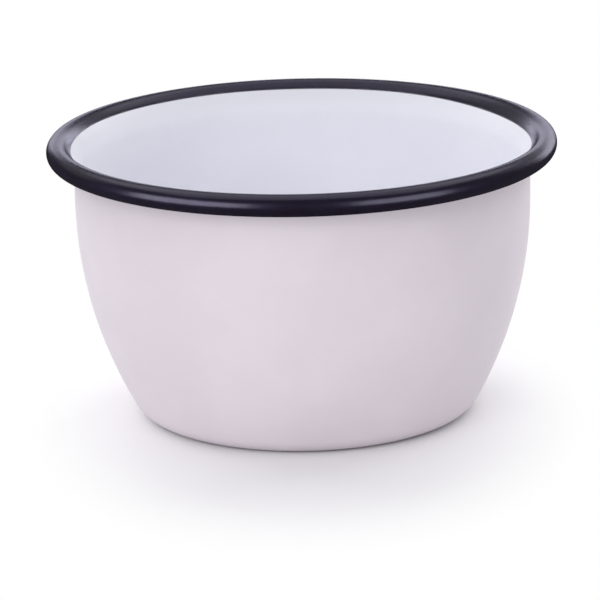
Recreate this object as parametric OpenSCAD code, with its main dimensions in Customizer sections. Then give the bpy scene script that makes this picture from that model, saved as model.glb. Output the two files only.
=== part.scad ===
// Enamelled steel bowl: one pressed sheet with a rolled rim, and the enamel layers fired onto its two faces.
// The origin is the centre of the base, on the surface that the bowl stands on. +Z is up.
// Every layer follows one path, from the middle of the base out, up the wall and round the rolled bead.

/* [Bowl] */
// Diameter over the rolled bead
rim_d = 140; // [110:1:180]
// Height from the standing ring to the top of the bead
bowl_h = 77.8; // [50:0.1:110]
// Diameter of the flat base, to the start of its rounded corner
base_d = 82; // [64:1:100]
// Radius of the rounded corner between base and wall, outside
corner_r = 8; // [4:0.5:14]
// Length of the upright stretch of wall under the flare
upright_l = 7.7; // [2:0.1:30]

/* [Rolled rim] */
// Diameter of the rolled bead
bead_d = 6; // [5:0.1:8]
// Radius of the flare under the bead, inside
flare_r = 12; // [9:0.5:18]
// Angle that the flare turns outward before the bead starts
flare_angle = 45; // [36:1:60]
// Gap between the curled edge of the sheet and the wall
curl_gap = 0.4; // [0.2:0.1:1]
// Drop from the top of the bead to the line where the rim's colour starts, inside
rim_line_drop = 2.2; // [1.4:0.1:5]

/* [Base] */
// Width of the flat ring that the bowl stands on
ring_w = 5; // [3:0.5:10]
// Height that the middle of the base is pressed up
recess_h = 0.8; // [0.3:0.1:1.5]
// Radius of the two bends between ring and raised middle, outside
step_r = 3; // [2:0.5:6]

/* [Sheet and enamel] */
// Thickness of the steel sheet
steel_t = 0.6; // [0.4:0.1:1]
// Thickness of the ground enamel on each face
ground_t = 0.12; // [0.08:0.01:0.2]
// Thickness of the white lining
lining_t = 0.18; // [0.1:0.01:0.3]
// Thickness of the outer coat
outer_coat_t = 0.18; // [0.1:0.01:0.3]
// Thickness of the rim's coat
rim_coat_t = 0.2; // [0.1:0.01:0.3]

/* [Hidden] */
$fn = 180;
// Largest distance between an arc of the path and its chords
arc_tolerance = 0.01;

steel_colour = [0.62, 0.63, 0.65];
ground_colour = [0.12, 0.13, 0.20];
white_colour = [0.87, 0.87, 0.91];
pink_colour = [0.86, 0.81, 0.85];
rim_colour = [0.10, 0.09, 0.15];

// Each layer lies between two depths, measured from the outer coat's face towards the bowl's inside
outer_coat_depth = [0, outer_coat_t];
outer_ground_depth = [outer_coat_depth[1], outer_coat_depth[1] + ground_t];
steel_depth = [outer_ground_depth[1], outer_ground_depth[1] + steel_t];
inner_ground_depth = [steel_depth[1], steel_depth[1] + ground_t];
lining_depth = [inner_ground_depth[1], inner_ground_depth[1] + lining_t];
rim_coat_depth = [inner_ground_depth[1], inner_ground_depth[1] + rim_coat_t];

// The bead, as a centre and a radius at depth 0
bead_centre = [rim_d / 2 - bead_d / 2, bowl_h - bead_d / 2];
curl_r = bead_d / 2 - rim_coat_depth[1];

// The flare runs into the bead without a kink, so the two centres lie on one line with the point where they meet
flare_outer_r = flare_r - lining_depth[1];
flare_offset = flare_outer_r - curl_r;
flare_centre = bead_centre + flare_offset * [cos(flare_angle), -sin(flare_angle)];

// The lining stops and the rim's coat starts at this turn of the flare
rim_line_turn = asin((bowl_h - rim_line_drop - flare_centre.y) / flare_r);

// The curl goes on round until its edge is the gap away from the outer coat
tip_reach = flare_outer_r - curl_gap;
tip_cos = (tip_reach ^ 2 - (bead_d / 2) ^ 2 - flare_offset ^ 2) / (bead_d * flare_offset);
curl_turn = flare_angle + 360 - acos(tip_cos);

// The wall's arc leaves the base corner without a kink and stands upright at its top
base_r = base_d / 2;
wall_top = [flare_centre.x - flare_outer_r, flare_centre.y - upright_l];
wall_run = wall_top.x - base_r;
wall_rise = wall_top.y - corner_r;
wall_r = (wall_run ^ 2 + wall_rise ^ 2 - corner_r ^ 2) / (2 * (wall_run - corner_r));
wall_lean = asin(wall_rise / (wall_r - corner_r));

// The step in the base is two equal bends, one down and one back to level
step_turn = acos(1 - recess_h / (2 * step_r));
ring_inner_r = base_r - ring_w;
recess_r = ring_inner_r - 2 * step_r * sin(step_turn);

// Points along an arc. Its first point is left out, because the stretch before it ends there.
function arc(centre, r, from_angle, to_angle) =
    let (steps = ceil(abs(to_angle - from_angle) / (2 * acos(1 - arc_tolerance / r))))
    [for (i = [1 : steps])
        let (angle = from_angle + (to_angle - from_angle) * i / steps)
        centre + r * [cos(angle), sin(angle)]];

// The stretches of the path at a depth. A bend grows with the depth where its centre is outside the bowl.
function base(depth) = concat(
    [[0, recess_h + depth], [recess_r, recess_h + depth]],
    arc([recess_r, recess_h - step_r], step_r + depth, 90, 90 - step_turn),
    arc([ring_inner_r, step_r], step_r - depth, 270 - step_turn, 270));

function wall(depth) = concat(
    [[base_r, depth]],
    arc([base_r, corner_r], corner_r - depth, 270, 360 - wall_lean),
    arc(wall_top - [wall_r, 0], wall_r - depth, 360 - wall_lean, 360),
    [wall_top + [-depth, upright_l]]);

function flare(depth, from_turn, to_turn) =
    arc(flare_centre, flare_outer_r + depth, 180 - from_turn, 180 - to_turn);

function curl(depth) = arc(bead_centre, curl_r + depth, 180 - flare_angle, 180 - curl_turn);

// The lining's path ends at the rim line, where the rim coat's path starts
function lining_path(depth) = concat(base(depth), wall(depth), flare(depth, 0, rim_line_turn));

function rim_coat_path(depth) = concat(
    [flare_centre + (flare_outer_r + depth) * [-cos(rim_line_turn), sin(rim_line_turn)]],
    flare(depth, rim_line_turn, flare_angle),
    curl(depth));

// The outer coat's path ends inside the rolled rim, where the flare runs into the bead
function outer_coat_path(depth) = concat(lining_path(depth), flare(depth, rim_line_turn, flare_angle));

// The steel and the ground coats run all the way to the curled edge
function sheet_path(depth) = concat(outer_coat_path(depth), curl(depth));

function reversed(points) = [for (i = [len(points) - 1 : -1 : 0]) points[i]];

// The layer between an outer and an inner path, turned round the bowl's axis
module layer(outer_path, inner_path)
    rotate_extrude() polygon(concat(outer_path, reversed(inner_path)));

module steel_bowl()
    color(steel_colour) layer(sheet_path(steel_depth[0]), sheet_path(steel_depth[1]));

module inner_ground_coat()
    color(ground_colour) layer(sheet_path(inner_ground_depth[0]), sheet_path(inner_ground_depth[1]));

module outer_ground_coat()
    color(ground_colour) layer(sheet_path(outer_ground_depth[0]), sheet_path(outer_ground_depth[1]));

module white_lining()
    color(white_colour) layer(lining_path(lining_depth[0]), lining_path(lining_depth[1]));

module outer_coat()
    color(pink_colour) layer(outer_coat_path(outer_coat_depth[0]), outer_coat_path(outer_coat_depth[1]));

module rim_coat()
    color(rim_colour) layer(rim_coat_path(rim_coat_depth[0]), rim_coat_path(rim_coat_depth[1]));

steel_bowl();
inner_ground_coat();
outer_ground_coat();
white_lining();
outer_coat();
rim_coat();
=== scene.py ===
"""Enamelled steel bowl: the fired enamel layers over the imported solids, and the studio that it stands in.

The three coats that show are shells turned round the bowl's axis. Each section is worked out as an array of
radius and height, from the same sizes as the solids. The steel sheet and the two ground coats keep their
solids and get a finish. All lengths are in metres and the frame is the solids' own: the origin is the centre
of the base and +Z is up.
"""

import math

import bpy
import numpy as np
from bpy.props import FloatProperty, FloatVectorProperty, PointerProperty
from mathutils import Color, Matrix, Vector


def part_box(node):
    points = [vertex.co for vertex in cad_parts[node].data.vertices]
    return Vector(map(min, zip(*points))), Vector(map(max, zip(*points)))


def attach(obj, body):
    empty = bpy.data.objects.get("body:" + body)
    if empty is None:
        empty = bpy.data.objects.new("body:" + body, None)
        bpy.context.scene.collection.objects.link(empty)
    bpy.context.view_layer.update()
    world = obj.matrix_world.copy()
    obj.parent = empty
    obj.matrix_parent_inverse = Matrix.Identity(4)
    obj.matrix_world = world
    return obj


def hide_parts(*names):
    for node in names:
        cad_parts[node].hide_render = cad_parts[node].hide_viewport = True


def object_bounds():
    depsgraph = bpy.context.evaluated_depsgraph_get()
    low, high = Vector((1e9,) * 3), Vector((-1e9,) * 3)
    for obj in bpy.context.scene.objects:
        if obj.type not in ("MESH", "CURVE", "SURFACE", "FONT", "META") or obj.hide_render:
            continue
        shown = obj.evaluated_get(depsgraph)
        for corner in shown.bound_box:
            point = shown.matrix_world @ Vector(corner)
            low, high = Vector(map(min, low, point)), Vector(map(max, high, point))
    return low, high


bl_info = {
    "name": "Enamelled Bowl",
    "version": (1, 0, 0),
    "blender": (4, 5, 0),
    "location": "View3D > Sidebar > Enamelled Bowl",
    "description": "Builds the enamel layers of a pressed steel bowl and the studio it stands in",
    "category": "Add Mesh",
}

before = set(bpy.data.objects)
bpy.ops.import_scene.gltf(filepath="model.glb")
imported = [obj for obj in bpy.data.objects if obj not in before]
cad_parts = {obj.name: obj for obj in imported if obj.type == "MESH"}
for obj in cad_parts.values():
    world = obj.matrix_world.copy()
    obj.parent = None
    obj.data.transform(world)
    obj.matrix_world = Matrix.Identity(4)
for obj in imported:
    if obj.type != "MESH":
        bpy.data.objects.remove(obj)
CAD_LOW, CAD_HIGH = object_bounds()
LINING_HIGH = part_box("white_lining")[1]

BODY = "root"

# Points round every turned shell, and the bend past which an edge of a shell is shaded as sharp
COLUMNS = 360
SHARP_BEND = math.radians(50.0)

# Glass, which enamel is, and white as a shader takes it
GLASS_IOR = 1.5
PLAIN_WHITE = (1.0, 1.0, 1.0, 1.0)


# Sizes, finishes and studio


def length(name, description, default):
    """A length property in metres, shown with a hundredth of a millimetre."""
    return FloatProperty(
        name=name, description=description, default=default, min=0.0, precision=5, unit="LENGTH"
    )


def angle(name, description, degrees):
    """An angle property, given in degrees."""
    return FloatProperty(name=name, description=description, default=math.radians(degrees), unit="ROTATION")


def colour(name, description, default):
    """A colour property, given as it looks on a screen."""
    return FloatVectorProperty(
        name=name, description=description, default=default, size=3, min=0.0, max=1.0, subtype="COLOR_GAMMA"
    )


def glow(name, description, default):
    """A brightness property, where one is white."""
    return FloatProperty(name=name, description=description, default=default, min=0.0, soft_max=50.0)


class BowlSizes(bpy.types.PropertyGroup):
    """Sizes of the bowl. The rim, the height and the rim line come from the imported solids."""

    rim_diameter: length("Rim diameter", "Diameter over the rolled bead", CAD_HIGH.x - CAD_LOW.x)
    height: length("Height", "From the standing ring to the top of the bead", CAD_HIGH.z - CAD_LOW.z)
    base_diameter: length("Base diameter", "Flat base, to the start of its rounded corner", 0.082)
    corner_radius: length("Corner radius", "Rounded corner between base and wall, outside", 0.008)
    upright_length: length("Upright length", "Upright stretch of wall under the flare", 0.0077)
    bead_diameter: length("Bead diameter", "Diameter of the rolled bead", 0.006)
    flare_radius: length("Flare radius", "Radius of the flare under the bead, inside", 0.012)
    flare_angle: angle("Flare angle", "Turn of the flare before the bead starts", 45.0)
    curl_gap: length("Curl gap", "Gap between the curled edge of the sheet and the wall", 0.0004)
    rim_line_drop: length("Rim line drop", "From the bead's top to its line", CAD_HIGH.z - LINING_HIGH.z)
    ring_width: length("Ring width", "Flat ring that the bowl stands on", 0.005)
    recess_height: length("Recess height", "Height that the middle of the base is pressed up", 0.0008)
    step_radius: length("Step radius", "Two bends between ring and raised middle, outside", 0.003)
    steel_thickness: length("Steel thickness", "Thickness of the pressed sheet", 0.0006)
    ground_thickness: length("Ground coat thickness", "Ground enamel on each face", 0.00012)
    lining_thickness: length("Lining thickness", "White enamel inside", 0.00018)
    outer_thickness: length("Outer coat thickness", "Pale pink enamel outside", 0.00018)
    rim_thickness: length("Rim coat thickness", "Blue-black enamel over the bead", 0.0002)
    line_dip: length("Line dip", "How far the rim's colour runs down at its lowest place", 0.0015)
    right_dip: angle("Right dip", "Place round the bowl where the rim's colour runs down furthest", 15.0)
    left_dip: angle("Left dip", "Place round the bowl where it runs down half as far", 185.0)
    # Places of the pale rim colour on the rim's ends: partly a thinner coat, partly a painted sheen
    right_thin_sheen: angle("Right thin place", "Place on the right where the rim's colour is thin", -4.0)
    left_thin_sheen: angle("Left thin place", "Place on the left where the rim's colour is thin", 188.0)
    line_waver: length("Line waver", "How far the rim's colour line strays in small waves", 0.0001)
    lip_height: length("Lip height", "How far the rim coat's edge stands up where it pooled", 0.00005)
    unevenness: length("Unevenness", "Depth of the low waves in the fired enamel", 0.00004)
    pin_circle: length("Pin circle", "Radius of the three firing marks under the base", 0.024)
    pin_radius: length("Pin radius", "Radius of one firing mark", 0.0008)
    pin_depth: length("Pin depth", "Depth of one firing mark", 0.0001)


class EnamelFinish(bpy.types.PropertyGroup):
    """Colours of the enamels and the steel, as they look on a screen."""

    white: colour("White", "Lining", (0.902, 0.901, 0.931))
    white_cloud: colour("White, clouded", "Lining where the coat is a little thinner", (0.885, 0.886, 0.918))
    # Painted shade: the lining's colour at the rim line, darker to even out the extra light on the flare
    white_painted_shade: colour("White, thin", "Lining where the coat is thinnest", (0.852, 0.851, 0.884))
    pink: colour("Pink", "Outer coat", (0.864, 0.831, 0.861))
    # The outer coat's darker colour, for its random clouds and for painted shade towards the rim
    pink_cloud_and_shade: colour("Pink, clouded", "Outer coat where it is a little thinner", (0.815, 0.781, 0.817))
    black: colour("Blue-black", "Rim coat", (0.055, 0.032, 0.092))
    black_cloud: colour("Blue-black, thin", "Rim coat where it is thinner", (0.072, 0.05, 0.115))
    # Pale rim colour at the ends: partly a thinner coat, partly a painted sheen
    black_thin_sheen: colour("Blue-black, thinnest", "Rim coat where it is thin and pale", (0.56, 0.55, 0.61))
    ground: colour("Ground", "Ground enamel under the cover coats", (0.12, 0.13, 0.20))
    steel: colour("Steel", "Sheet", (0.62, 0.63, 0.65))
    rub: colour("Rubbed", "Standing ring where it is dulled by the table", (0.74, 0.71, 0.74))


class StudioSetting(bpy.types.PropertyGroup):
    """Camera, lamps and floor."""

    camera_distance: length("Camera distance", "From the aim point to the camera", 1.2)
    camera_elevation: angle("Camera elevation", "Height of the camera as an angle over the floor", 15.84)
    camera_roll: angle("Camera roll", "Turn of the camera about its own line of sight", -1.32)
    aim_side: FloatProperty(name="Aim side", description="Aim point along X", default=-0.0014, unit="LENGTH")
    aim_height: length("Aim height", "Aim point above the floor", 0.03035)
    lens: FloatProperty(name="Lens", description="Focal length", default=260.0, min=1.0, unit="CAMERA")
    back_brightness: glow("Back brightness", "Two softboxes behind the bowl", 2.27)
    front_brightness: glow("Front brightness", "Softbox on the camera's side", 2.65)
    gloss_brightness: glow("Gloss brightness", "Brightest of the lamps that show only in the bead", 35.0)
    gloss_colour: colour("Gloss colour", "Lamps that show only in the bead", (0.925, 0.917, 1.0))
    sky: glow("Sky", "Surroundings, as they light the bowl", 0.68)
    floor: colour("Floor", "Pale floor", (0.93, 0.928, 0.936))
    shadow_radius: length("Shadow radius", "In front, the floor shows its own colour up to here", 0.084)
    white_radius: length("White radius", "In front, the floor is plain white to the eye from here", 0.141)
    side_fade: FloatProperty(
        name="Side fade", description="How many times nearer the white is at the sides", default=1.75, min=0.1
    )


# Section of the bowl


def arc(centre, radius, start, end, steps):
    """Points of an arc: the centre plus the radius times cosine and sine of evenly spaced angles."""
    angles = np.linspace(start, end, steps + 1)
    return np.array(centre) + radius * np.stack([np.cos(angles), np.sin(angles)], axis=-1)


def smooth_step(value, low, high):
    """Zero below low, one above high, and between them three times the square less twice the cube."""
    part = np.clip((value - low) / (high - low), 0.0, 1.0)
    return part * part * (3.0 - 2.0 * part)


def turn_angles():
    """Angles of the columns round the bowl's axis."""
    return np.linspace(0.0, 2.0 * math.pi, COLUMNS, endpoint=False)


def place_round(centre, power):
    """One at a place round the bowl and zero away from it, for each column.

    It is half of one plus the cosine of the angle from the place, raised to a power. A high power is narrow.
    """
    return ((1.0 + np.cos(turn_angles() - centre)) / 2) ** power


class BowlLayout:
    """Centres, radii and angles worked out from the sizes, in the half plane of radius and height.

    Every layer follows one path: out along the base, round its corner, up the wall, round the flare and over
    the bead. Depth is measured from the outer coat's face towards the inside of the bowl.
    """

    def __init__(self, sizes):
        self.sizes = sizes
        self.outer_depth = sizes.outer_thickness
        self.ground_depth = self.outer_depth + sizes.steel_thickness + 2 * sizes.ground_thickness
        self.lining_depth = self.ground_depth + sizes.lining_thickness
        self.rim_depth = self.ground_depth + sizes.rim_thickness

        bead_radius = sizes.bead_diameter / 2
        self.bead_centre = np.array([sizes.rim_diameter / 2 - bead_radius, sizes.height - bead_radius])
        self.curl_radius = bead_radius - self.rim_depth

        # The flare runs into the bead without a kink: both centres are in line with the point where they meet
        self.flare_angle = sizes.flare_angle
        self.flare_radius = sizes.flare_radius - self.lining_depth
        flare_offset = self.flare_radius - self.curl_radius
        towards_flare = np.array([math.cos(self.flare_angle), -math.sin(self.flare_angle)])
        self.flare_centre = self.bead_centre + flare_offset * towards_flare
        line_rise = sizes.height - sizes.rim_line_drop - self.flare_centre[1]
        self.line_turn = math.asin(line_rise / sizes.flare_radius)

        # The curl goes on round until its edge is the gap away from the outer coat
        tip_reach = self.flare_radius - sizes.curl_gap
        tip_cosine = (tip_reach**2 - bead_radius**2 - flare_offset**2) / (2 * bead_radius * flare_offset)
        self.curl_turn = self.flare_angle + 2 * math.pi - math.acos(tip_cosine)

        # The wall's arc leaves the base corner without a kink and stands upright at its top
        self.base_radius = sizes.base_diameter / 2
        self.wall_top = self.flare_centre - np.array([self.flare_radius, sizes.upright_length])
        run = self.wall_top[0] - self.base_radius
        rise = self.wall_top[1] - sizes.corner_radius
        self.wall_radius = (run**2 + rise**2 - sizes.corner_radius**2) / (2 * (run - sizes.corner_radius))
        self.wall_lean = math.asin(rise / (self.wall_radius - sizes.corner_radius))

        # The step in the base is two equal bends, one down and one back to level
        self.step_turn = math.acos(1 - sizes.recess_height / (2 * sizes.step_radius))
        self.ring_inner_radius = self.base_radius - sizes.ring_width
        self.recess_radius = self.ring_inner_radius - 2 * sizes.step_radius * math.sin(self.step_turn)

    def base_and_wall(self, depth, fineness):
        """Path from the axis to the flare: flat middle, two bends, ring, corner, wall arc and upright."""
        sizes = self.sizes
        quarter = math.pi / 2

        def steps(count):
            return max(2, round(count * fineness))

        pin_band = 2.5 * sizes.pin_radius
        middle_radii = np.concatenate([
            np.linspace(0.0, sizes.pin_circle - pin_band, steps(10), endpoint=False),
            np.linspace(sizes.pin_circle - pin_band, sizes.pin_circle + pin_band, steps(16), endpoint=False),
            np.linspace(sizes.pin_circle + pin_band, self.recess_radius, steps(4), endpoint=False),
        ])
        middle = np.stack([middle_radii, np.full_like(middle_radii, sizes.recess_height + depth)], axis=-1)
        bend_down = arc(
            (self.recess_radius, sizes.recess_height - sizes.step_radius),
            sizes.step_radius + depth, quarter, quarter - self.step_turn, steps(6),
        )
        bend_level = arc(
            (self.ring_inner_radius, sizes.step_radius),
            sizes.step_radius - depth, 3 * quarter - self.step_turn, 3 * quarter, steps(6),
        )
        corner = arc(
            (self.base_radius, sizes.corner_radius),
            sizes.corner_radius - depth, -quarter, -self.wall_lean, steps(16),
        )
        wall = arc(
            self.wall_top - [self.wall_radius, 0.0],
            self.wall_radius - depth, -self.wall_lean, 0.0, steps(48),
        )
        upright_heights = np.linspace(self.wall_top[1], self.flare_centre[1], steps(8) + 1)
        upright_radii = np.full_like(upright_heights, self.wall_top[0] - depth)
        upright = np.stack([upright_radii, upright_heights], axis=-1)
        return np.concatenate([middle, bend_down[:-1], bend_level, corner, wall[1:], upright[1:-1]])

    def flare(self, depth, turn):
        """Points of the flare: its centre plus its radius at the depth, at each turn from the wall."""
        radius = self.flare_radius + depth
        return self.flare_centre + np.stack([-radius * np.cos(turn), radius * np.sin(turn)], axis=-1)

    def curl(self, depth, turn):
        """Points of the bead: its centre plus its radius at the depth, at each turn from the wall."""
        radius = self.curl_radius + depth
        return self.bead_centre + np.stack([-radius * np.cos(turn), radius * np.sin(turn)], axis=-1)

    def rim_line(self):
        """Turn of the flare where the rim's colour starts in each column: a circle, two dips and waves."""
        sizes = self.sizes
        around = turn_angles()
        dips = place_round(sizes.right_dip, power=8) + 0.5 * place_round(sizes.left_dip, power=16)
        waves = 0.6 * np.cos(3 * around + 0.4) + 0.4 * np.cos(7 * around + 2.1)
        drop = sizes.line_dip * dips + sizes.line_waver * waves
        return self.line_turn - drop / sizes.flare_radius

    def rim_thin_coat_and_sheen(self, distance):
        """How pale the rim's colour is, from zero to one: two narrow places on the rim's ends, fading out up
        from the line. It is partly a thinner coat and partly a painted sheen.
        """
        sizes = self.sizes
        places = place_round(sizes.right_thin_sheen, power=64) + place_round(sizes.left_thin_sheen, power=64)
        return places * (1.0 - smooth_step(distance, 0.0, 2.0 * sizes.line_dip))

    def fired_waves(self, face):
        """Depth of the low waves at each point of a face: a sum of three waves that slant up the wall.

        They are between zero and the unevenness, and fade out towards the base so that the bowl stands level.
        """
        around = turn_angles()[None, :]
        height = face[..., 1]
        first = np.sin(5 * around + 260.0 * height)
        second = np.sin(9 * around - 190.0 * height + 1.3)
        third = np.sin(14 * around + 410.0 * height + 4.0)
        waves = 0.5 + (first + 0.7 * second + 0.5 * third) / 4.4
        corner = self.sizes.corner_radius
        return self.sizes.unevenness * waves * smooth_step(height, 0.4 * corner, 2.0 * corner)


def all_round(path):
    """A path of (rows, 2) repeated for every column."""
    return np.repeat(path[:, None, :], COLUMNS, axis=1)


def towards_inside(section, depth):
    """Moves a section's points to the left of its direction of travel by a depth for each point."""
    along = np.gradient(section, axis=0)
    along /= np.maximum(np.linalg.norm(along, axis=-1, keepdims=True), 1e-12)
    left = np.stack([-along[..., 1], along[..., 0]], axis=-1)
    return section + left * depth[..., None]


def pin_places(sizes):
    """Centres of the three firing marks, evenly round the underside of the raised middle."""
    around = np.radians([90.0, 210.0, 330.0])
    x, y = sizes.pin_circle * np.cos(around), sizes.pin_circle * np.sin(around)
    return np.stack([x, y, np.full(3, sizes.recess_height)], axis=-1)


def pin_dimples(sizes, section):
    """Depth of the firing marks at each point of a section: a bell curve round each, underneath only."""
    around = turn_angles()
    x, y = section[..., 0] * np.cos(around), section[..., 0] * np.sin(around)
    spots = pin_places(sizes)
    away = (x[..., None] - spots[:, 0]) ** 2 + (y[..., None] - spots[:, 1]) ** 2
    underside = section[..., 1] < 2 * sizes.recess_height
    return sizes.pin_depth * underside * np.exp(-away / (0.7 * sizes.pin_radius) ** 2).sum(axis=-1)


# Meshes


def quads_between(lower, upper):
    """Faces between two sets of rows of point numbers, where each row closes round on itself."""
    quads = np.stack([lower, np.roll(lower, -1, axis=1), np.roll(upper, -1, axis=1), upper], axis=-1)
    return quads.reshape(-1, 4)


def turned_mesh(name, section, ring):
    """Mesh of a section turned round the axis.

    The section is (rows, columns, 2), radius and height, and runs anticlockwise, so that the faces point
    outwards. A ring's last row joins its first. Otherwise the first and last rows lie on the axis, and each
    becomes one point.
    """
    rows, columns = section.shape[:2]
    around = turn_angles()
    radius, height = section[..., 0], section[..., 1]
    points = np.stack([radius * np.cos(around), radius * np.sin(around), height], axis=-1).reshape(-1, 3)
    index = np.arange(rows * columns).reshape(rows, columns)
    if ring:
        faces = quads_between(index, np.roll(index, -1, axis=0)).tolist()
    else:
        # The two rows on the axis shrink to one point each, and the points are numbered without the rest
        quads = quads_between(index[1:-2], index[2:-1])
        first_pole, last_pole = np.full(columns, index[0, 0]), np.full(columns, index[-1, 0])
        first = np.stack([first_pole, np.roll(index[1], -1), index[1]], axis=-1)
        last = np.stack([last_pole, index[-2], np.roll(index[-2], -1)], axis=-1)
        used = np.concatenate([index[0, :1], index[1:-1].ravel(), index[-1, :1]])
        count = np.zeros(rows * columns, dtype=int)
        count[used] = np.arange(len(used))
        points = points[used]
        faces = count[quads].tolist() + count[first].tolist() + count[last].tolist()
    mesh = bpy.data.meshes.new(name)
    mesh.from_pydata(points, [], faces)
    mesh.polygons.foreach_set("use_smooth", np.ones(len(mesh.polygons), dtype=bool))
    mesh.set_sharp_from_angle(angle=SHARP_BEND)
    mesh.update()
    return mesh


def store_point_values(mesh, name, values, ring):
    """Keeps one number for each point of a turned mesh, from an array of rows by columns."""
    flat = values.ravel() if ring else np.concatenate([values[0, :1], values[1:-1].ravel(), values[-1, :1]])
    attribute = mesh.attributes.new(name, "FLOAT", "POINT")
    attribute.data.foreach_set("value", np.ascontiguousarray(flat, dtype=np.float32))


def add_piece(name, mesh, material, node):
    """Puts a mesh into the scene in place of a solid, which it hides: it rides on the bowl and takes the
    given material.
    """
    piece = bpy.data.objects.new(name, mesh)
    bpy.context.scene.collection.objects.link(piece)
    mesh.materials.append(material)
    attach(piece, BODY)
    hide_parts(node)


# Material nodes


def screen_colour(value):
    """A colour as it looks on a screen, as the linear colour that a shader takes."""
    return (*Color(value).from_srgb_to_scene_linear(), 1.0)


def add_node(tree, kind, inputs=None, **options):
    """Adds a node, sets its options, and fills its inputs with a value or links them to an output."""
    node = tree.nodes.new(kind)
    for name, value in options.items():
        setattr(node, name, value)
    for key, value in (inputs or {}).items():
        if isinstance(value, bpy.types.NodeSocket):
            tree.links.new(value, node.inputs[key])
        else:
            node.inputs[key].default_value = value
    return node


def calculate(tree, operation, first, second=0.0, clamp=False):
    """Output of a Math node."""
    node = add_node(tree, "ShaderNodeMath", {0: first, 1: second}, operation=operation, use_clamp=clamp)
    return node.outputs[0]


def remap(tree, value, from_low, from_high, to_low=0.0, to_high=1.0, smooth=False):
    """Output of a Map Range node that keeps to its range."""
    inputs = {
        "Value": value,
        "From Min": from_low,
        "From Max": from_high,
        "To Min": to_low,
        "To Max": to_high,
    }
    kind = "SMOOTHSTEP" if smooth else "LINEAR"
    return add_node(tree, "ShaderNodeMapRange", inputs, interpolation_type=kind).outputs["Result"]


def vector_math(tree, operation, first, second=(0.0, 0.0, 0.0)):
    """Output of a Vector Math node: a number for a length or a distance, and a vector for the rest."""
    node = add_node(tree, "ShaderNodeVectorMath", {0: first, 1: second}, operation=operation)
    return node.outputs["Value" if operation in {"LENGTH", "DISTANCE"} else "Vector"]


def noise(tree, place, scale, detail, roughness=0.5):
    """Output of a Noise Texture node, which is about a half on average."""
    inputs = {"Vector": place, "Scale": scale, "Detail": detail, "Roughness": roughness}
    return add_node(tree, "ShaderNodeTexNoise", inputs).outputs["Fac"]


def mix_colour(tree, factor, first, second):
    """Output of a Mix node for two colours, each an output or a colour as it looks on a screen."""
    if not isinstance(first, bpy.types.NodeSocket):
        first = screen_colour(first)
    if not isinstance(second, bpy.types.NodeSocket):
        second = screen_colour(second)

    # The node's factor, its two colours and its mixed colour go by these numbers
    return add_node(tree, "ShaderNodeMix", {0: factor, 6: first, 7: second}, data_type="RGBA").outputs[2]


def height_over_floor(tree, place):
    """Output that gives the height of a place."""
    return add_node(tree, "ShaderNodeSeparateXYZ", {"Vector": place}).outputs["Z"]


def point_value(tree, name):
    """Output that gives the number a mesh keeps under a name."""
    return add_node(tree, "ShaderNodeAttribute", attribute_name=name).outputs["Fac"]


def new_group(name, inputs, outputs):
    """A shader node group with named sockets. Returns the group, its inputs and its output node."""
    group = bpy.data.node_groups.new(name, "ShaderNodeTree")
    for socket, kind in inputs:
        group.interface.new_socket(socket, in_out="INPUT", socket_type=kind)
    for socket in outputs:
        group.interface.new_socket(socket, in_out="OUTPUT", socket_type="NodeSocketFloat")
    entry = group.nodes.new("NodeGroupInput")
    result = group.nodes.new("NodeGroupOutput")
    return group, entry.outputs, result


def fired_enamel_group():
    """Node group for fired enamel: slow clouds, a ripple like orange peel, uneven gloss and some specks."""
    name = "Fired Enamel"
    if name in bpy.data.node_groups:
        return bpy.data.node_groups[name]
    inputs = [
        ("Vector", "NodeSocketVector"),
        ("Cloud Size", "NodeSocketFloat"),
        ("Ripple Size", "NodeSocketFloat"),
        ("Speck Spacing", "NodeSocketFloat"),
        ("Speck Size", "NodeSocketFloat"),
    ]
    group, given, result = new_group(name, inputs, ["Cloud", "Ripple", "Gloss", "Speck"])
    place = given["Vector"]
    per_cloud = calculate(group, "DIVIDE", 1.0, given["Cloud Size"])
    per_ripple = calculate(group, "DIVIDE", 1.0, given["Ripple Size"])
    per_speck = calculate(group, "DIVIDE", 1.0, given["Speck Spacing"])
    per_gloss = calculate(group, "MULTIPLY", per_ripple, 2.7)
    cloud = noise(group, place, per_cloud, detail=4.0, roughness=0.55)
    ripple = noise(group, place, per_ripple, detail=1.5, roughness=0.4)
    gloss = noise(group, place, per_gloss, detail=3.0, roughness=0.6)

    # Some of the cells have a round speck in the middle, each with a radius of its own
    cells = add_node(group, "ShaderNodeTexVoronoi", {"Vector": place, "Scale": per_speck, "Randomness": 1.0})
    chosen = add_node(group, "ShaderNodeSeparateColor", {"Color": cells.outputs["Color"]})
    speck_radius = calculate(group, "MULTIPLY", given["Speck Size"], per_speck)
    own_radius = calculate(group, "MULTIPLY", speck_radius, chosen.outputs["Red"])
    dot = calculate(group, "SUBTRACT", own_radius, cells.outputs["Distance"])
    dot = calculate(group, "DIVIDE", dot, calculate(group, "MULTIPLY", speck_radius, 0.35), clamp=True)
    some = calculate(group, "GREATER_THAN", chosen.outputs["Green"], 0.55)

    # Noise keeps near a half, so its middle is spread over the whole range
    links = group.links
    links.new(remap(group, cloud, 0.32, 0.68, smooth=True), result.inputs["Cloud"])
    links.new(ripple, result.inputs["Ripple"])
    links.new(remap(group, gloss, 0.3, 0.7), result.inputs["Gloss"])
    links.new(calculate(group, "MULTIPLY", dot, some), result.inputs["Speck"])
    return group


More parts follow.
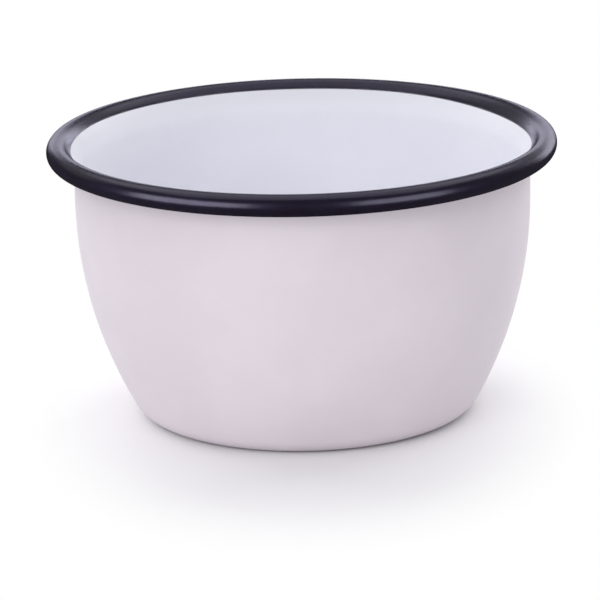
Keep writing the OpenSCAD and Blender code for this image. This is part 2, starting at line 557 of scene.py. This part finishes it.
def coat_border_group():
    """Node group for the edge between two coats: one at the line and zero past an uneven, feathered width."""
    name = "Coat Border"
    if name in bpy.data.node_groups:
        return bpy.data.node_groups[name]
    inputs = [("Vector", "NodeSocketVector"), ("Distance", "NodeSocketFloat"), ("Feather", "NodeSocketFloat")]
    group, given, result = new_group(name, inputs, ["Mask"])
    wander_size = 0.004
    wander = noise(group, given["Vector"], 1.0 / wander_size, detail=1.0)
    uneven = remap(group, wander, 0.3, 0.7, 0.6, 1.3)
    own_width = calculate(group, "MULTIPLY", given["Feather"], uneven)
    past = calculate(group, "DIVIDE", given["Distance"], own_width, clamp=True)
    group.links.new(calculate(group, "SUBTRACT", 1.0, past), result.inputs["Mask"])
    return group


def new_material(name, viewport_colour):
    """A new material. Returns it, its tree, the object coordinates and the Principled shader in it."""
    material = bpy.data.materials.new(name)
    material.use_nodes = True
    material.diffuse_color = screen_colour(viewport_colour)
    tree = material.node_tree
    tree.nodes.clear()
    shader = tree.nodes.new("ShaderNodeBsdfPrincipled")
    output = tree.nodes.new("ShaderNodeOutputMaterial")
    tree.links.new(shader.outputs["BSDF"], output.inputs["Surface"])
    place = tree.nodes.new("ShaderNodeTexCoord").outputs["Object"]
    return material, tree, place, shader


def use_enamel(tree, place, cloud_size, ripple_size, speck_spacing, speck_size):
    """Places the fired enamel group in a material with its own sizes."""
    inputs = {
        "Vector": place,
        "Cloud Size": cloud_size,
        "Ripple Size": ripple_size,
        "Speck Spacing": speck_spacing,
        "Speck Size": speck_size,
    }
    return add_node(tree, "ShaderNodeGroup", inputs, node_tree=fired_enamel_group()).outputs


def use_border(tree, place, feather):
    """Places the coat border group in a material. It reads the distance that the mesh keeps."""
    inputs = {"Vector": place, "Distance": point_value(tree, "border_distance"), "Feather": feather}
    return add_node(tree, "ShaderNodeGroup", inputs, node_tree=coat_border_group()).outputs["Mask"]


def add_specks(tree, base, enamel, strength, speck_colour):
    """A base colour with the fired enamel's specks in a colour of their own."""
    return mix_colour(tree, calculate(tree, "MULTIPLY", enamel["Speck"], strength), base, speck_colour)


def dress_shader(tree, shader, base, roughness, height, bump_depth):
    """Links colour, roughness and a bump of the given depth to a shader."""
    bump = add_node(tree, "ShaderNodeBump", {"Strength": 1.0, "Distance": bump_depth, "Height": height})
    tree.links.new(base, shader.inputs["Base Color"])
    tree.links.new(roughness, shader.inputs["Roughness"])
    tree.links.new(bump.outputs["Normal"], shader.inputs["Normal"])


def white_enamel(finish, sizes):
    """Cool white enamel, faintly clouded, with fine specks and a little rim colour bled in at the line."""
    material, tree, place, shader = new_material("white_enamel", finish.white)
    enamel = use_enamel(
        tree, place, cloud_size=0.035, ripple_size=0.006, speck_spacing=0.009, speck_size=0.00016,
    )
    base = mix_colour(tree, enamel["Cloud"], finish.white, finish.white_cloud)

    # Painted shade: the lining turns darker up the flare towards the rim line, to even out the extra light on
    # the flare, which faces up
    top = sizes.height - sizes.rim_line_drop
    height = height_over_floor(tree, place)
    painted_height_shade = remap(tree, height, top - 0.5 * sizes.flare_radius, top, smooth=True)
    base = mix_colour(tree, painted_height_shade, base, finish.white_painted_shade)
    base = add_specks(tree, base, enamel, 0.5, finish.ground)
    bleed = calculate(tree, "MULTIPLY", use_border(tree, place, feather=0.0002), 0.5)
    base = mix_colour(tree, bleed, base, finish.black_cloud)
    roughness = remap(tree, enamel["Gloss"], 0.0, 1.0, 0.32, 0.4)
    dress_shader(tree, shader, base, roughness, enamel["Ripple"], bump_depth=0.00004)
    shader.inputs["IOR"].default_value = GLASS_IOR
    shader.inputs["Specular IOR Level"].default_value = 0.15
    return material


def pink_enamel(finish, sizes):
    """Pale pink satin enamel, clouded, with a rubbed standing ring and three dark firing marks underneath."""
    material, tree, place, shader = new_material("pink_enamel", finish.pink)
    enamel = use_enamel(
        tree, place, cloud_size=0.028, ripple_size=0.005, speck_spacing=0.007, speck_size=0.00018,
    )

    # Painted shade: the outer coat turns darker towards the rim, to even out the wall's light from top to
    # bottom, on top of its random clouds
    height = height_over_floor(tree, place)
    painted_height_shade = remap(tree, height, 0.0, sizes.height, 0.0, 0.65)
    thinness = calculate(tree, "ADD", painted_height_shade, calculate(tree, "MULTIPLY", enamel["Cloud"], 0.35))
    base = mix_colour(tree, thinness, finish.pink, finish.pink_cloud_and_shade)
    base = add_specks(tree, base, enamel, 0.35, finish.ground)

    # The ring is dulled where it touches the table, in scratches that are long round it and narrow across it
    recess = sizes.recess_height
    touching = remap(tree, height, recess / 16, recess / 2, 1.0, 0.0, smooth=True)
    scratch_length = 0.00625
    narrowness = 16.0
    level = vector_math(tree, "MULTIPLY", place, (1.0, 1.0, 0.0))
    radius = vector_math(tree, "LENGTH", level)
    across = add_node(tree, "ShaderNodeCombineXYZ", {"Z": calculate(tree, "MULTIPLY", radius, narrowness)})
    drawn_out = vector_math(tree, "ADD", level, across.outputs["Vector"])
    scratches = remap(tree, noise(tree, drawn_out, 1.0 / scratch_length, detail=3.0), 0.4, 0.75)
    rubbed = calculate(tree, "MULTIPLY", touching, scratches)
    base = mix_colour(tree, rubbed, base, finish.rub)

    # Each firing mark is a dark dot that fades out over its radius
    for spot in pin_places(sizes):
        away = vector_math(tree, "DISTANCE", place, spot)
        mark = remap(tree, away, 0.35 * sizes.pin_radius, 0.9 * sizes.pin_radius, 0.85, 0.0, smooth=True)
        base = mix_colour(tree, mark, base, finish.ground)

    roughness = remap(tree, enamel["Gloss"], 0.0, 1.0, 0.42, 0.52)
    roughness = calculate(tree, "ADD", roughness, calculate(tree, "MULTIPLY", rubbed, 0.2))
    dress_shader(tree, shader, base, roughness, enamel["Ripple"], bump_depth=0.00004)
    shader.inputs["IOR"].default_value = GLASS_IOR
    shader.inputs["Specular IOR Level"].default_value = 0.2
    return material


def rim_enamel(finish):
    """Blue-black glossy enamel, a little paler where it thins out at its line, and much paler at two places
    on its ends, partly from a thinner coat and partly as a painted sheen.
    """
    material, tree, place, shader = new_material("rim_enamel", finish.black)
    enamel = use_enamel(
        tree, place, cloud_size=0.012, ripple_size=0.004, speck_spacing=0.006, speck_size=0.00018,
    )
    base = mix_colour(tree, enamel["Cloud"], finish.black, finish.black_cloud)
    feathered = calculate(tree, "MULTIPLY", use_border(tree, place, feather=0.0004), 0.12)
    base = mix_colour(tree, feathered, base, finish.white_cloud)
    # Paler at two places on the rim's ends: partly a thinner coat, partly a painted sheen
    base = mix_colour(tree, point_value(tree, "thinness"), base, finish.black_thin_sheen)
    base = add_specks(tree, base, enamel, 0.2, finish.pink_cloud_and_shade)
    roughness = remap(tree, enamel["Gloss"], 0.0, 1.0, 0.4, 0.5)
    dress_shader(tree, shader, base, roughness, enamel["Ripple"], bump_depth=0.00005)

    # The gloss is a weak clear coat, weaker at a glancing angle, so that the rim stays dark in a pale room
    gloss = remap(tree, enamel["Gloss"], 0.0, 1.0, 0.14, 0.116)
    glancing = add_node(tree, "ShaderNodeLayerWeight", {"Blend": 0.5}).outputs["Facing"]
    kept = remap(tree, glancing, 0.4, 0.9, 1.0, 0.18)
    tree.links.new(calculate(tree, "MULTIPLY", gloss, kept), shader.inputs["Coat Weight"])
    shader.inputs["Coat Roughness"].default_value = 0.26
    shader.inputs["Coat IOR"].default_value = GLASS_IOR
    shader.inputs["Specular IOR Level"].default_value = 0.0
    return material


def ground_enamel(finish):
    """Dark glossy ground enamel with pale specks."""
    material, tree, place, shader = new_material("ground_enamel", finish.ground)
    enamel = use_enamel(
        tree, place, cloud_size=0.01, ripple_size=0.004, speck_spacing=0.002, speck_size=0.00025,
    )
    base = mix_colour(tree, enamel["Cloud"], finish.ground, finish.black)
    base = mix_colour(tree, enamel["Speck"], base, finish.white_cloud)
    roughness = remap(tree, enamel["Gloss"], 0.0, 1.0, 0.2, 0.35)
    dress_shader(tree, shader, base, roughness, enamel["Ripple"], bump_depth=0.00005)
    shader.inputs["IOR"].default_value = GLASS_IOR
    return material


def sheet_steel(finish):
    """Cold-rolled steel, with a fine grain that is drawn out along X."""
    material, tree, place, shader = new_material("sheet_steel", finish.steel)
    along, across = 60.0, 1800.0
    drawn_out = vector_math(tree, "MULTIPLY", place, (along, across, across))
    grain = noise(tree, drawn_out, 1.0, detail=3.0)
    base = mix_colour(tree, grain, finish.steel, finish.rub)
    roughness = remap(tree, grain, 0.3, 0.7, 0.28, 0.45)
    dress_shader(tree, shader, base, roughness, grain, bump_depth=0.00001)
    shader.inputs["Metallic"].default_value = 1.0
    return material


# Pieces


def lining_section(layout):
    """Section of the lining: out along the ground coat to the rim line, and back along the white face.

    Returns the section and, for each point, how far along the face it is from the rim line.
    """
    line = layout.rim_line()
    faces = []
    distances = []
    for depth, fineness, flare_steps in ((layout.ground_depth, 0.5, 6), (layout.lining_depth, 1.0, 18)):
        below = all_round(layout.base_and_wall(depth, fineness))
        part = np.linspace(0.0, 1.0, flare_steps + 1)[:, None]
        flare = layout.flare(depth, part * line)
        faces.append(np.concatenate([below, flare]))
        flare_length = (1.0 - part) * line * layout.sizes.flare_radius
        below_length = (layout.flare_centre[1] - below[..., 1]) + line * layout.sizes.flare_radius
        distances.append(np.concatenate([below_length, flare_length]))
    hidden, shown = faces
    waves = layout.fired_waves(shown) * smooth_step(distances[1], 0.0, layout.sizes.bead_diameter)
    shown = towards_inside(shown, -waves)
    shown[0, :, 0] = 0.0  # The middle stays on the axis
    return np.concatenate([hidden, shown[::-1]]), np.concatenate([distances[0], distances[1][::-1]])


def outer_coat_section(layout):
    """Section of the outer coat: out along the pink face to the flare's end, and back along the ground."""
    paths = []
    for depth, fineness, flare_steps in ((0.0, 1.0, 14), (layout.outer_depth, 0.5, 6)):
        turns = np.linspace(0.0, layout.flare_angle, flare_steps + 1)
        paths.append(np.concatenate([layout.base_and_wall(depth, fineness), layout.flare(depth, turns)]))
    shown, hidden = [all_round(path) for path in paths]
    dents = layout.fired_waves(shown) + pin_dimples(layout.sizes, shown)
    shown = towards_inside(shown, dents)
    shown[0, :, 0] = 0.0  # The middle stays on the axis
    return np.concatenate([shown, hidden[::-1]])


def rim_coat_section(layout):
    """Section of the rim coat: over the bead on the ground coat, round the cut edge, and back to the line.

    The face starts in a small rounded lip at the line. Returns the section and, for each point, how far along
    the face it is from the line.
    """
    sizes = layout.sizes
    line = layout.rim_line()
    hidden_turns = line + np.linspace(0.0, 1.0, 5)[:, None] * (layout.flare_angle - line)
    hidden_flare = layout.flare(layout.ground_depth, hidden_turns)
    hidden_curl = layout.curl(layout.ground_depth, np.linspace(layout.flare_angle, layout.curl_turn, 31)[1:])
    hidden = np.concatenate([hidden_flare, all_round(hidden_curl)])

    # A half round over the cut edge of the sheet, from the inside of the curl to its outside
    cap_turn = np.linspace(0.0, math.pi, 11)
    middle_depth = (layout.rim_depth + layout.outer_depth / 2) / 2
    half_depth = layout.rim_depth - middle_depth
    cap_depth = middle_depth - half_depth * np.cos(cap_turn)
    cap_reach = 0.5 * sizes.curl_gap * np.sin(cap_turn)
    cap_angle = layout.curl_turn + cap_reach / (layout.curl_radius + cap_depth)
    cap = all_round(layout.curl(cap_depth, cap_angle))

    # The face from the line over the bead, with close rows in the lip
    lip_width = 4 * sizes.lip_height
    pool_width = 0.4 * sizes.bead_diameter
    flare_length = (layout.flare_angle - line) * sizes.flare_radius
    lip_part = (1.0 - np.cos(np.linspace(0.0, math.pi / 2, 7)))[:-1, None] * lip_width
    rest_part = lip_width + np.linspace(0.0, 1.0, 13)[:, None] * (flare_length - lip_width)
    along = np.concatenate([np.repeat(lip_part, COLUMNS, axis=1), rest_part])
    face_flare = layout.flare(layout.rim_depth, line + along / sizes.flare_radius)
    curl_turns = np.linspace(layout.flare_angle, layout.curl_turn, 65)[1:-1]
    face_curl = all_round(layout.curl(layout.rim_depth, curl_turns))
    bead_radius = sizes.bead_diameter / 2
    curl_along = flare_length + (curl_turns[:, None] - layout.flare_angle) * bead_radius
    distance = np.concatenate([along, curl_along])
    face = np.concatenate([face_flare, face_curl])

    # The lip rises in a quarter round from just under the lining's face, and sinks back over the pool's width
    rounded = np.sqrt(1.0 - (1.0 - np.clip(distance / lip_width, 0.0, 1.0)) ** 2)
    pooled = sizes.lip_height * rounded * (1.0 - smooth_step(distance, lip_width, pool_width))
    start = layout.rim_depth - layout.lining_depth + sizes.lip_height / 2
    lift = pooled - start * (1.0 - rounded)
    lift = lift - 0.6 * layout.fired_waves(face) * smooth_step(distance, lip_width, pool_width)
    face = towards_inside(face, lift)
    far = np.full((len(hidden) + len(cap), COLUMNS), distance.max())
    return np.concatenate([hidden, cap, face[::-1]]), np.concatenate([far, distance[::-1]])


class BOWL_OT_lining(bpy.types.Operator):
    """Turn the white lining inside the bowl"""

    bl_idname = "enamel_bowl.lining"
    bl_label = "White Lining"

    def execute(self, context):
        sizes = context.scene.bowl_sizes
        section, distance = lining_section(BowlLayout(sizes))
        mesh = turned_mesh("lining", section, ring=False)
        store_point_values(mesh, "border_distance", distance, ring=False)
        material = white_enamel(context.scene.bowl_finish, sizes)
        add_piece("lining", mesh, material, "white_lining")
        return {"FINISHED"}


class BOWL_OT_outer_coat(bpy.types.Operator):
    """Turn the pale pink coat outside the bowl and under its base"""

    bl_idname = "enamel_bowl.outer_coat"
    bl_label = "Outer Coat"

    def execute(self, context):
        sizes = context.scene.bowl_sizes
        mesh = turned_mesh("pink_coat", outer_coat_section(BowlLayout(sizes)), ring=False)
        material = pink_enamel(context.scene.bowl_finish, sizes)
        add_piece("pink_coat", mesh, material, "outer_coat")
        return {"FINISHED"}


class BOWL_OT_rim_coat(bpy.types.Operator):
    """Turn the blue-black band over the rolled bead"""

    bl_idname = "enamel_bowl.rim_coat"
    bl_label = "Rim Coat"

    def execute(self, context):
        layout = BowlLayout(context.scene.bowl_sizes)
        section, distance = rim_coat_section(layout)
        mesh = turned_mesh("rim_band", section, ring=True)
        store_point_values(mesh, "border_distance", distance, ring=True)
        # Pale places on the rim's ends, partly a thinner coat and partly a painted sheen
        store_point_values(mesh, "thinness", layout.rim_thin_coat_and_sheen(distance), ring=True)
        add_piece("rim_band", mesh, rim_enamel(context.scene.bowl_finish), "rim_coat")
        return {"FINISHED"}


class BOWL_OT_sheet(bpy.types.Operator):
    """Finish the steel sheet and the ground coats, which keep their solids"""

    bl_idname = "enamel_bowl.sheet"
    bl_label = "Sheet and Ground Coats"

    def execute(self, context):
        finish = context.scene.bowl_finish
        ground = ground_enamel(finish)
        materials = {
            "steel_bowl": sheet_steel(finish),
            "inner_ground_coat": ground,
            "outer_ground_coat": ground,
        }
        for node, material in materials.items():
            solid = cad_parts[node]
            solid.data.materials.clear()
            solid.data.materials.append(material)
        return {"FINISHED"}


# Studio


def softbox(name, brightness, size, place, target):
    """An area lamp that faces a target. Its power is pi times its brightness for each square metre."""
    lamp = bpy.data.lights.new(name, "AREA")
    lamp.shape = "RECTANGLE"
    lamp.size, lamp.size_y = size
    lamp.energy = math.pi * brightness * size[0] * size[1]
    holder = bpy.data.objects.new(name, lamp)
    bpy.context.scene.collection.objects.link(holder)
    holder.location = place
    holder.rotation_mode = "QUATERNION"
    holder.rotation_quaternion = (target - place).to_track_quat("-Z", "Y")
    return holder


def keep_light_to(lamp, piece_name):
    """Lets a lamp light one piece only."""
    lit = bpy.data.collections.new(lamp.name)
    lit.objects.link(bpy.data.objects[piece_name])
    lamp.light_linking.receiver_collection = lit


def direction(azimuth, elevation):
    """A unit vector: degrees round from the front, positive to the right, and degrees over the floor."""
    turn, rise = math.radians(azimuth), math.radians(elevation)
    return Vector((math.sin(turn) * math.cos(rise), -math.cos(turn) * math.cos(rise), math.sin(rise)))


def shown_to_eye(tree):
    """One for rays that show a background: straight from the camera, or through a reflection or glass."""
    path = tree.nodes.new("ShaderNodeLightPath").outputs
    seen = calculate(tree, "ADD", path["Is Camera Ray"], path["Is Glossy Ray"])
    return calculate(tree, "ADD", seen, path["Is Transmission Ray"], clamp=True)


def floor_material(studio):
    """Pale matt floor that keeps the bowl's shadow, and is plain white to the eye outside an oval."""
    material = bpy.data.materials.new("floor")
    material.use_nodes = True
    tree = material.node_tree
    tree.nodes.clear()
    output = tree.nodes.new("ShaderNodeOutputMaterial")
    matt = add_node(tree, "ShaderNodeBsdfDiffuse", {"Color": screen_colour(studio.floor)})
    white = add_node(tree, "ShaderNodeEmission", {"Color": PLAIN_WHITE, "Strength": 1.0})
    place = tree.nodes.new("ShaderNodeTexCoord").outputs["Object"]
    stretched = vector_math(tree, "MULTIPLY", place, (studio.side_fade, 1.0, 1.0))
    away = vector_math(tree, "LENGTH", stretched)
    far = remap(tree, away, studio.shadow_radius, studio.white_radius, smooth=True)
    factor = calculate(tree, "MULTIPLY", far, shown_to_eye(tree))
    mix = add_node(tree, "ShaderNodeMixShader", {0: factor, 1: matt.outputs[0], 2: white.outputs[0]})
    tree.links.new(mix.outputs[0], output.inputs["Surface"])
    return material


def add_floor(studio):
    """A disc of floor, far wider than the view: rings of points whose radii grow by equal steps."""
    floor_radius = 30.0
    radii = np.linspace(0.0, floor_radius, 4)[1:, None]
    around = np.linspace(0.0, 2.0 * math.pi, 64, endpoint=False)
    level = np.zeros((len(radii), len(around)))
    points = np.stack([radii * np.cos(around), radii * np.sin(around), level], axis=-1).reshape(-1, 3)
    index = np.arange(len(points)).reshape(level.shape)
    quads = quads_between(index[1:], index[:-1])
    mesh = bpy.data.meshes.new("floor")
    mesh.from_pydata(points, [], [index[0].tolist()] + quads.tolist())
    mesh.materials.append(floor_material(studio))
    floor = bpy.data.objects.new("floor", mesh)
    bpy.context.scene.collection.objects.link(floor)


def set_world(studio):
    """Dim, even surroundings, which the eye sees as plain white."""
    world = bpy.data.worlds.new("studio")
    world.use_nodes = True
    tree = world.node_tree
    tree.nodes.clear()
    output = tree.nodes.new("ShaderNodeOutputWorld")
    strength = remap(tree, shown_to_eye(tree), 0.0, 1.0, studio.sky, 1.0)
    background = add_node(tree, "ShaderNodeBackground", {"Color": PLAIN_WHITE, "Strength": strength})
    tree.links.new(background.outputs[0], output.inputs["Surface"])
    bpy.context.scene.world = world


def add_camera(studio):
    """The camera on its line of sight to the aim point, rolled about that line."""
    aim = Vector((studio.aim_side, 0.0, studio.aim_height))
    place = aim + studio.camera_distance * direction(0.0, math.degrees(studio.camera_elevation))
    data = bpy.data.cameras.new("camera")
    data.lens = studio.lens
    camera = bpy.data.objects.new("camera", data)
    bpy.context.scene.collection.objects.link(camera)
    facing = (aim - place).to_track_quat("-Z", "Y").to_matrix().to_4x4()
    camera.matrix_world = Matrix.Translation(place) @ facing @ Matrix.Rotation(studio.camera_roll, 4, "Z")
    bpy.context.scene.camera = camera


class BOWL_OT_stage(bpy.types.Operator):
    """Set up the floor, the soft light and the camera"""

    bl_idname = "enamel_bowl.stage"
    bl_label = "Studio"

    def execute(self, context):
        studio = context.scene.bowl_studio
        add_floor(studio)
        set_world(studio)
        add_camera(studio)

        # Two softboxes behind the bowl, and one on the camera's side that doesn't show in the gloss
        aim = Vector((0.0, 0.0, studio.aim_height))
        square = (0.8, 0.8)
        softbox("back_left_softbox", studio.back_brightness, square, direction(-135.0, 40.0), aim)
        softbox("back_right_softbox", studio.back_brightness, square, direction(135.0, 40.0), aim)
        front = softbox("front_softbox", studio.front_brightness, (0.8, 0.5), direction(-20.0, 28.0), aim)
        front.visible_glossy = False

        # Lamps for the rim's gloss alone: two strips near the bead show as streaks along its front, and two
        # panels behind the bowl show in its top and its ends
        over_bead = Vector((0.0, 0.0, 0.1))
        strip_distance = 0.35
        left_place = over_bead + strip_distance * direction(-48.0, 0.0)
        right_place = over_bead + strip_distance * direction(41.0, 0.0)
        strength = studio.gloss_brightness
        gloss_lamps = (
            softbox("left_gloss", strength, (0.34, 0.24), left_place, over_bead),
            softbox("right_gloss", 0.75 * strength, (0.25, 0.24), right_place, over_bead),
            softbox("top_gloss", 0.24 * strength, (1.6, 1.25), direction(180.0, 76.0), aim),
            softbox("end_gloss", 0.9 * strength, (1.4, 0.5), direction(168.0, 8.0), aim),
        )
        for lamp in gloss_lamps:
            lamp.data.color = screen_colour(studio.gloss_colour)[:3]
            lamp.visible_diffuse = False
            keep_light_to(lamp, "rim_band")
        context.scene.view_settings.view_transform = "Standard"
        return {"FINISHED"}


class BOWL_PT_panel(bpy.types.Panel):
    """Sizes, finishes, studio and the steps that build the bowl"""

    bl_idname = "BOWL_PT_panel"
    bl_label = "Enamelled Bowl"
    bl_space_type = "VIEW_3D"
    bl_region_type = "UI"
    bl_category = "Enamelled Bowl"

    def draw(self, context):
        for group in (context.scene.bowl_sizes, context.scene.bowl_finish, context.scene.bowl_studio):
            box = self.layout.box()
            for name in group.bl_rna.properties.keys():
                if name not in {"rna_type", "name"}:
                    box.prop(group, name)
        for step in STEPS:
            self.layout.operator(step.bl_idname)


STEPS = (BOWL_OT_lining, BOWL_OT_outer_coat, BOWL_OT_rim_coat, BOWL_OT_sheet, BOWL_OT_stage)
CLASSES = (BowlSizes, EnamelFinish, StudioSetting, *STEPS, BOWL_PT_panel)


def register():
    """Registers the classes and puts the three property groups on the scene."""
    for item in CLASSES:
        bpy.utils.register_class(item)
    bpy.types.Scene.bowl_sizes = PointerProperty(type=BowlSizes)
    bpy.types.Scene.bowl_finish = PointerProperty(type=EnamelFinish)
    bpy.types.Scene.bowl_studio = PointerProperty(type=StudioSetting)


def unregister():
    """Takes the property groups off the scene and unregisters the classes."""
    del bpy.types.Scene.bowl_studio
    del bpy.types.Scene.bowl_finish
    del bpy.types.Scene.bowl_sizes
    for item in reversed(CLASSES):
        bpy.utils.unregister_class(item)


def main():
    """Builds the bowl and its studio."""
    register()
    bpy.ops.enamel_bowl.lining()
    bpy.ops.enamel_bowl.outer_coat()
    bpy.ops.enamel_bowl.rim_coat()
    bpy.ops.enamel_bowl.sheet()
    bpy.ops.enamel_bowl.stage()


if __name__ == "__main__":
    main()
